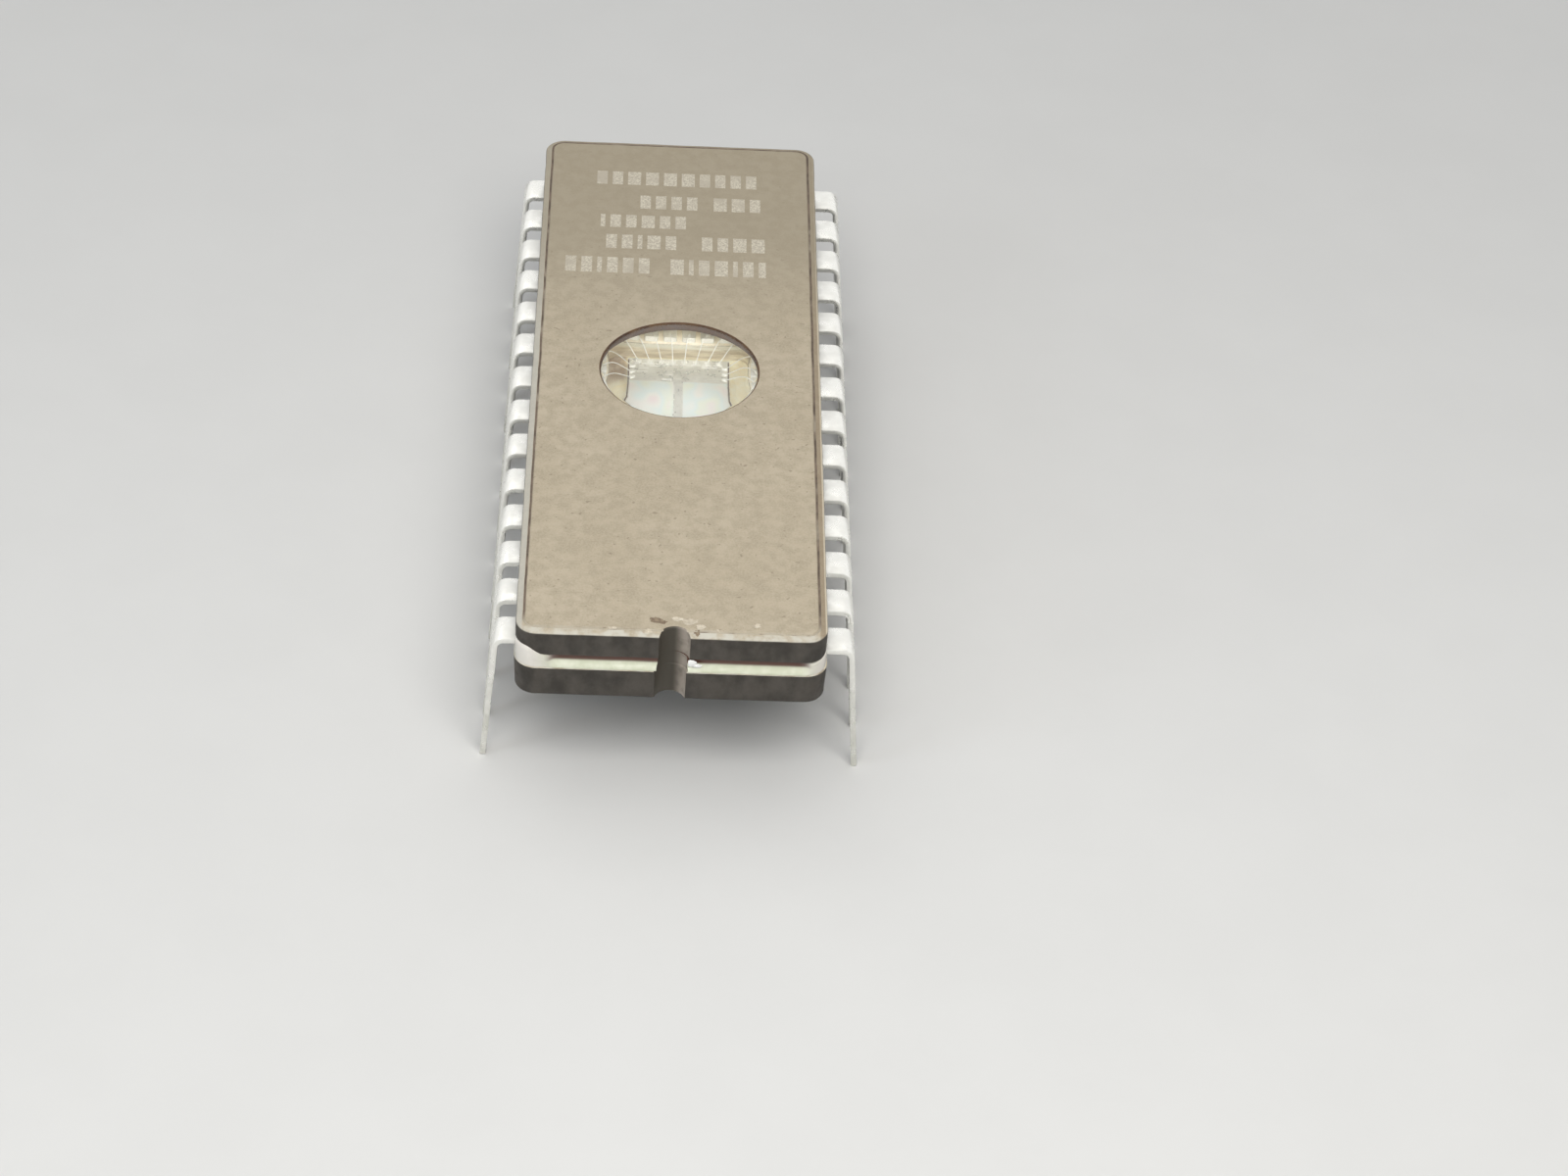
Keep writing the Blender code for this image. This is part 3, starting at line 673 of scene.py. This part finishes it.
def make_ledge_bead():
    """Glaze that has run from the seal to the edge of the cavity, round the finger tips."""
    edge, top = BASE_HIGH.z, LEAD_TOP - 0.05
    profile = [(-1.2, edge - 0.08), (-1.2, top), (-0.55, top - 0.01), (-0.36, top - 0.05),
               (-0.24, top - 0.11), (-0.13, top - 0.19), (-0.05, edge + 0.02), (-0.02, edge - 0.02),
               (-0.02, edge - 0.08)]
    points = outline(*CAVITY_HALF, 0.0, CAVITY_RADIUS, 0.2)
    bm = shell(points, profile, 0.02, ledge_swell, hollow=True)
    piece_from(bm, "ledge_glaze", [LEDGE], slot="seal_glass")


def finger_path(rank):
    """Plan points of one inner finger, from the shoulder to the tip, in the +X +Y quarter."""
    row_y = (rank + 0.5) * LEAD_PITCH
    start = (FINGER_OUTER_X, row_y)
    if rank >= SIDE_TIPS:
        tip_x = (LEADS_PER_QUADRANT - rank - 0.5) * TIP_PITCH_END
        track_x = tip_x * 1.3
        return [start, (track_x + TRACK_CORNER, row_y), (track_x, row_y - TRACK_CORNER),
                (tip_x, OPENING_HALF[1] + 1.0), (tip_x, TIP_END[1])]
    tip_y = (rank + 0.5) * TIP_PITCH_SIDE
    if rank == 0:
        return [start, (FINGER_OUTER_X - row_y + tip_y, tip_y), (TIP_END[0], tip_y)]
    lane_x = OPENING_HALF[0] + (SIDE_TIPS - rank - 0.5) * LANE_PITCH
    turn_in = [(lane_x + TRACK_CORNER, row_y)] if rank > 1 else []
    return [start, *turn_in, (lane_x, row_y - TRACK_CORNER), (lane_x, tip_y + TRACK_CORNER),
            (lane_x - TRACK_CORNER, tip_y), (TIP_END[0], tip_y)]


def finger_sections(rank):
    """Centre, width direction, upward direction, width and material of the flat part of a lead."""
    path = finger_path(rank)[::-1]
    row_y = (rank + 0.5) * LEAD_PITCH
    inward = (Vector(path[0]) - Vector(path[1])).normalized()
    tip = Vector(path[0])
    points = [tip, tip - inward * 0.04, tip - inward * 0.65] + [Vector(p) for p in path[1:]]
    points += [Vector((SHOULDER_INNER_X, row_y)), Vector((BEND_START_X - 0.3, row_y)),
               Vector((BEND_START_X, row_y))]
    widths = [TIP_WIDTH - 0.08, TIP_WIDTH, TIP_WIDTH] + [TRACK_WIDTH] * (len(path) - 1)
    widths += [SHOULDER_WIDTH] * 3
    heads = [(b - a).normalized() for a, b in zip(points, points[1:])]
    sections = []
    for i, (point, width) in enumerate(zip(points, widths)):
        before, after = heads[max(i - 1, 0)], heads[min(i, len(heads) - 1)]
        along = (before + after).normalized()
        across = Vector((-along.y, along.x, 0)) / along.dot(before)
        sections.append((Vector((*point, LEAD_MID)), across, Vector((0, 0, 1)), width, i < 3))
    return sections


def leg_sections(rank, splay):
    """The bent and upright part of a lead, down to its end."""
    row_y = (rank + 0.5) * LEAD_PITCH
    across = Vector((0, 1, 0))
    sections = []
    for step in range(1, BEND_STEPS + 1):
        angle = (math.pi / 2 - splay) * step / BEND_STEPS
        centre = Vector((BEND_START_X + BEND_RADIUS * math.sin(angle), row_y,
                         LEAD_MID - BEND_RADIUS * (1 - math.cos(angle))))
        out = Vector((math.sin(angle), 0, math.cos(angle)))
        sections.append((centre, across, out, SHOULDER_WIDTH, False))
    bend = sections[-1][0]
    end = LEAD_THICKNESS / 2 * math.sin(splay)
    lower = [(TAPER_TOP + 0.05, SHOULDER_WIDTH), (TAPER_TOP - 0.03, SHOULDER_WIDTH - 0.05),
             (TAPER_BOTTOM + 0.06, LEG_WIDTH + 0.06), (TAPER_BOTTOM - 0.04, LEG_WIDTH),
             (end + LEG_END_LENGTH, LEG_WIDTH), (end + 0.04, LEG_END_WIDTH + 0.03),
             (end, LEG_END_WIDTH)]
    for height, width in lower:
        centre = Vector((bend.x + (bend.z - height) * math.tan(splay), row_y, height))
        sections.append((centre, across, out, width, False))
    return sections


def strip_ring(bm, centre, across, up, width, flip):
    """Ring round one section of a strip, with eased corners."""
    ring = []
    for i, (side, level) in enumerate(((1, -1), (1, 1), (-1, 1), (-1, -1))):
        for k in range(3):
            angle = math.pi / 2 * (i - 1 + k / 2)
            a = side * (width / 2 - STRIP_EDGE) + STRIP_EDGE * math.cos(angle)
            b = level * (LEAD_THICKNESS / 2 - STRIP_EDGE) + STRIP_EDGE * math.sin(angle)
            place = centre + across * a + up * b
            ring.append(bm.verts.new((place.x * flip[0], place.y * flip[1], place.z)))
    return ring


def lead_places():
    """Side of the package, half of the row and rank of each lead, in the order of its number."""
    row = [(-1, rank) for rank in reversed(range(LEADS_PER_QUADRANT))]
    row += [(1, rank) for rank in range(LEADS_PER_QUADRANT)]
    right = [(1, half, rank) for half, rank in row]
    return right + [(-1, half, rank) for half, rank in reversed(row)]


def make_leads():
    for number, (side, half, rank) in enumerate(lead_places(), start=1):
        bm = bmesh.new()
        splay = math.radians(SPLAY - rng.uniform(0.0, 0.5))
        sections = finger_sections(rank) + leg_sections(rank, splay)
        rings = [strip_ring(bm, *section[:4], (side, half)) for section in sections]
        slots = {row: int(section[4]) for row, section in enumerate(sections[1:])}
        join_rings(bm, rings, slots)[0].material_index = 1
        name = f"lead_{number:02d}"
        piece_from(bm, f"{name}_tinned", [TIN, ALUMINIUM], [name], "tinned_leads", 40)


def make_window():
    low, rim = WINDOW_LOW.z, CAP_HIGH.z - 0.03
    radius = WINDOW_RADIUS + WINDOW_OVERLAP
    profile = [(radius + BORE_FLARE, low), (radius, FLARE_TOP), (radius, rim - 0.03),
               (radius - 0.03, rim - 0.045), (radius - 0.12, rim - 0.03),
               (radius - 0.4, rim - 0.01), (radius * 0.7, rim + 0.005),
               (radius * 0.4, rim + 0.012), (0.4, rim + 0.015)]
    piece_from(lathe(profile, (0, 0), 128), "window_lens", [WINDOW], ["window_glass"],
               "window_glass", 60)


def make_die_attach():
    low, high = ATTACH_LOW.z - 0.01, ATTACH_HIGH.z
    points = outline(ATTACH_HIGH.x, ATTACH_HIGH.y, 0.0, 0.3, 0.15)
    profile = [(0.0, low), (0.03, low + 0.012), (0.14, low + 0.02), (0.22, high),
               (0.3, high + 0.03)]
    bm = shell(points, profile, 0.16)
    piece_from(bm, "die_attach_fillet", [GOLD], ["die_attach"], "die_attach")


def add_slab(bm, low, high, index=0):
    """Box between two corners with its own material."""
    made = bmesh.ops.create_cube(bm, size=1.0)["verts"]
    low, high = Vector(low), Vector(high)
    size = high - low
    for vert in made:
        vert.co = low + Vector([(c + 0.5) * s for c, s in zip(vert.co, size)])
    for face in {face for vert in made for face in vert.link_faces}:
        face.material_index = index


def die_pads():
    """Centres of the bond pads in the +X +Y quarter, by rank."""
    end_y = DIE_HALF[1] - PAD_INSET
    pads = [(DIE_HALF[0] - PAD_INSET, end_y - (SIDE_TIPS - rank) * PAD_PITCH_SIDE)
            for rank in range(SIDE_TIPS)]
    return pads + [((LEADS_PER_QUADRANT - rank - 0.5) * PAD_PITCH_END, end_y)
                   for rank in range(SIDE_TIPS, LEADS_PER_QUADRANT)]


def make_die():
    """Silicon block with two cell arrays, a decoder stripe, edge circuits and bond pads."""
    bm = bmesh.new()
    x, y = DIE_HALF
    add_slab(bm, (-x, -y, DIE_BOTTOM), (x, y, DIE_SKIN))
    low, high = DIE_SKIN - 0.01, DIE_SKIN + DIE_FILM
    for side in (-1, 1):
        inner, outer = sorted(side * edge for edge in ARRAY_X)
        add_slab(bm, (inner, -ARRAY_HALF_Y, low), (outer, ARRAY_HALF_Y, high), 1)
        inner, outer = sorted(side * edge for edge in EDGE_X)
        add_slab(bm, (inner, -EDGE_HALF_Y, low), (outer, EDGE_HALF_Y, high), 5)
    add_slab(bm, (-STRIPE_HALF_X, -ARRAY_HALF_Y, low), (STRIPE_HALF_X, ARRAY_HALF_Y, high), 4)
    for end in (-1, 1):
        for row in CIRCUIT_ROWS:
            place = -2.1 + rng.uniform(0.0, 0.3)
            while place < 2.0:
                width = rng.uniform(0.1, 0.8)
                start = row + rng.uniform(0.0, 0.06)
                start, stop = sorted((end * start, end * (start + rng.uniform(0.06, 0.16))))
                add_slab(bm, (place, start, low), (min(place + width, 2.15), stop, high),
                         rng.choice((0, 2, 2, 3)))
                place += width + rng.uniform(0.04, 0.4)
    for end in (-1, 1):
        place = -2.0
        while place < 1.9:
            width = rng.uniform(0.2, 0.6)
            start, stop = sorted((end * BUS_ROW, end * rng.uniform(BUS_ROW + 0.07, BUS_ROW + 0.12)))
            add_slab(bm, (place, start, low), (min(place + width, 2.0), stop, high), 3)
            place += width + rng.uniform(0.05, 0.12)
    for pad_x, pad_y in die_pads():
        for side_x in (-1, 1):
            for side_y in (-1, 1):
                cx, cy = side_x * pad_x, side_y * pad_y
                add_slab(bm, (cx - PAD_HALF[0], cy - PAD_HALF[1], low),
                         (cx + PAD_HALF[0], cy + PAD_HALF[1], high + DIE_FILM), 3)
    piece_from(bm, "silicon_chip", [SILICON, ARRAY, CIRCUIT, METAL, STRIPE, BORE],
               ["die_and_bond_wires"], "silicon_die")


def tube(bm, points, radius, steps=8):
    rings = []
    for i, point in enumerate(points):
        along = (points[min(i + 1, len(points) - 1)] - points[max(i - 1, 0)]).normalized()
        side = along.cross(Vector((0, 0, 1))).normalized()
        up = side.cross(along)
        rings.append([bm.verts.new(point + radius * (side * math.cos(a) + up * math.sin(a)))
                      for a in (math.tau * k / steps for k in range(steps))])
    join_rings(bm, rings)


def wedge_foot(bm, centre, heading):
    """Flattened foot where a wire is pressed down on a pad or a finger tip."""
    lump = bmesh.ops.create_icosphere(bm, subdivisions=3, radius=1.0)["verts"]
    across = Vector((-heading.y, heading.x))
    for vert in lump:
        length, width, height = FOOT_SIZE
        plan = centre.xy + heading * (vert.co.x * length) + across * (vert.co.y * width)
        vert.co = (*plan, centre.z + max(vert.co.z, -0.4) * height)


def make_wires():
    bm = bmesh.new()
    pads = die_pads()
    for side, half, rank in lead_places():
        path = finger_path(rank)
        tip = Vector(path[-1])
        inward = (tip - Vector(path[-2])).normalized()
        start, pad = tip - inward * 0.25, Vector(pads[rank])
        high, low = LEAD_TOP + WIRE_RADIUS, DIE_TOP + 0.002
        flip = Vector((side, half))
        loop = WIRE_LOOP + rng.uniform(-0.05, 0.02)
        points = []
        for i in range(WIRE_POINTS):
            t = i / (WIRE_POINTS - 1)
            drop = t * t * (3 - 2 * t)
            plan = start.lerp(pad, t) * flip
            height = high + (low - high) * drop + loop * math.sin(math.pi * t)
            points.append(Vector((*plan, height)))
        tube(bm, points, WIRE_RADIUS)
        heading = (points[-1] - points[0]).xy.normalized()
        wedge_foot(bm, points[0] - Vector((0, 0, WIRE_RADIUS * 0.6)), heading)
        wedge_foot(bm, points[-1] - Vector((0, 0, WIRE_RADIUS * 0.3)), heading)
    piece_from(bm, "aluminium_bond_wires", [METAL], slot="silicon_die", sharp=60)


def make_marks():
    """Five rows of plain worn blocks where the photo has printing."""
    bm = bmesh.new()
    for middle, half, spans in PRINT_ROWS:
        for start, end in spans:
            place = start
            while place < end - 0.3:
                width = min(rng.choice(PRINT_WIDTHS), end - place)
                add_slab(bm, (place, middle - half, CAP_TOP - 0.02),
                         (place + width, middle + half, CAP_TOP + 0.005))
                place += width + PRINT_GAP
    piece_from(bm, "printed_marks", [INK], slot="pressed_ceramic")


def make_floor():
    bm = bmesh.new()
    bmesh.ops.create_grid(bm, x_segments=1, y_segments=1, size=FLOOR_HALF)
    floor = piece_from(bm, "floor", [floor_material()])
    floor.location.z = -FLOOR_DROP * MM


def area_light(name, place, target, size, power, colour, mirrored=True):
    """Rectangular lamp aimed at a target, in metres and watts."""
    lamp = bpy.data.lights.new(name, "AREA")
    lamp.shape = "RECTANGLE"
    lamp.size, lamp.size_y = size
    lamp.energy = power
    lamp.color = colour
    light = bpy.data.objects.new(name, lamp)
    bpy.context.scene.collection.objects.link(light)
    light.visible_glossy = mirrored
    light.location = place
    light.rotation_euler = (Vector(target) - Vector(place)).to_track_quat("-Z", "Y").to_euler()


def make_world():
    """Even pale surroundings, seen brighter than the light that they give to rough surfaces.

    Mirrors see them darker overhead, because the key lamp adds its own light there.
    """
    world = bpy.data.worlds.new("pale_room")
    bpy.context.scene.world = world
    world.use_nodes = True
    g = Nodes(world.node_tree)
    rays = g.add("LightPath").outputs
    up = g.add("SeparateXYZ", {0: g.add("TexCoord").outputs["Generated"]}).outputs["Z"]
    mirrored = g.math("SUBTRACT", 1.0, rays["Is Camera Ray"])
    dimmed = g.math("MULTIPLY", g.ramp(up, *OVERHEAD, 0.0, OVERHEAD_DIMMING), mirrored)
    seen = g.tree.nodes["Background"]
    g.put(seen.inputs["Color"], (1.0, 1.0, 1.0))
    g.put(seen.inputs["Strength"], g.math("SUBTRACT", 1.0, dimmed))
    given = g.add("Background", {"Color": (0.96, 0.98, 1.0), "Strength": ROOM_LIGHT})
    shown = g.math("MAXIMUM", rays["Is Camera Ray"], rays["Is Glossy Ray"])
    shown = g.math("MAXIMUM", shown, rays["Is Transmission Ray"])
    blend = g.add("MixShader", {0: shown, 1: given.outputs[0], 2: seen.outputs[0]})
    g.put(g.tree.nodes["World Output"].inputs["Surface"], blend.outputs[0])


def make_camera():
    camera = bpy.data.objects.new("camera", bpy.data.cameras.new("camera"))
    bpy.context.scene.collection.objects.link(camera)
    camera.data.lens = CAMERA_LENS
    camera.data.sensor_width = 36
    camera.data.clip_start = 0.005
    pitch, yaw, roll = (math.radians(angle) for angle in CAMERA_ANGLES)
    turn = (Matrix.Rotation(yaw, 4, "Z") @ Matrix.Rotation(math.pi / 2 - pitch, 4, "X")
            @ Matrix.Rotation(roll, 4, "Z"))
    camera.matrix_world = Matrix.Translation(Vector(CAMERA_PLACE) * MM) @ turn
    bpy.context.scene.camera = camera


make_cap()
make_base()
make_seal_glass()
make_ledge_bead()
make_leads()
make_window()
make_die_attach()
make_die()
make_wires()
make_marks()
make_floor()
make_world()
make_camera()
area_light("key", (-0.09, 0.02, 0.38), (0, 0, 0.005), (0.6, 0.5), 0.66, (1.0, 0.985, 0.95))
area_light("front", (0.015, -0.10, 0.13), (0, -0.01, 0.006), (0.12, 0.08), 0.155, (1.0, 0.98, 0.94))
area_light("left_strip", (-0.28, -0.16, 0.10), (0, -0.01, 0.008), (0.10, 0.24), 0.21,
           (0.82, 0.91, 1.0), mirrored=False)
bpy.context.scene.view_settings.view_transform = "Standard"
